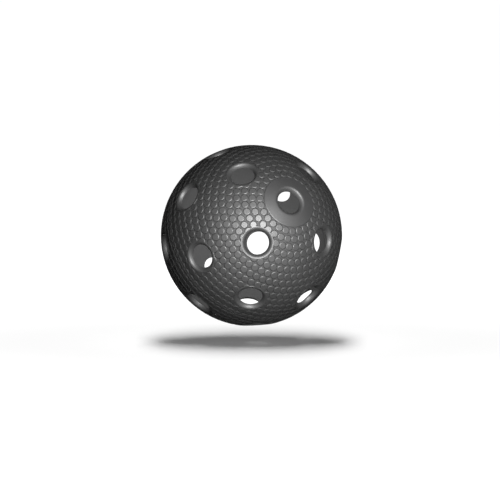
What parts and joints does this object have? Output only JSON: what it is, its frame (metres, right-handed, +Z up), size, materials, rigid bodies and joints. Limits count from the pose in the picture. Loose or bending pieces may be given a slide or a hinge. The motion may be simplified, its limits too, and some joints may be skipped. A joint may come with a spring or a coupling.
{
  "type": "floorball ball",
  "caption": "Hollow perforated plastic ball for floorball: a thin spherical wall with round, soft-edged holes, moulded as half shells that are butt-welded at the equator.",
  "frame": {"origin": "centre of the ball, which is also the middle of the weld plane", "axes": "+Z up as in the picture, -Y towards its viewer, +X to the viewer's right; the front half's pole hole points forwards, up and to the right"},
  "size_m": [0.0718, 0.0718, 0.0718],
  "materials": {
    "shell_plastic": "dark grey moulded polyethylene, semi-matt, with low round studs between the holes",
    "weld_plastic": "the same polyethylene, re-set from the melt with a smooth skin"
  },
  "bodies": {
    "root": {"front_half_shell": "shell_plastic", "rear_half_shell": "shell_plastic", "weld_bead": "weld_plastic"}
  },
  "joints": []
}
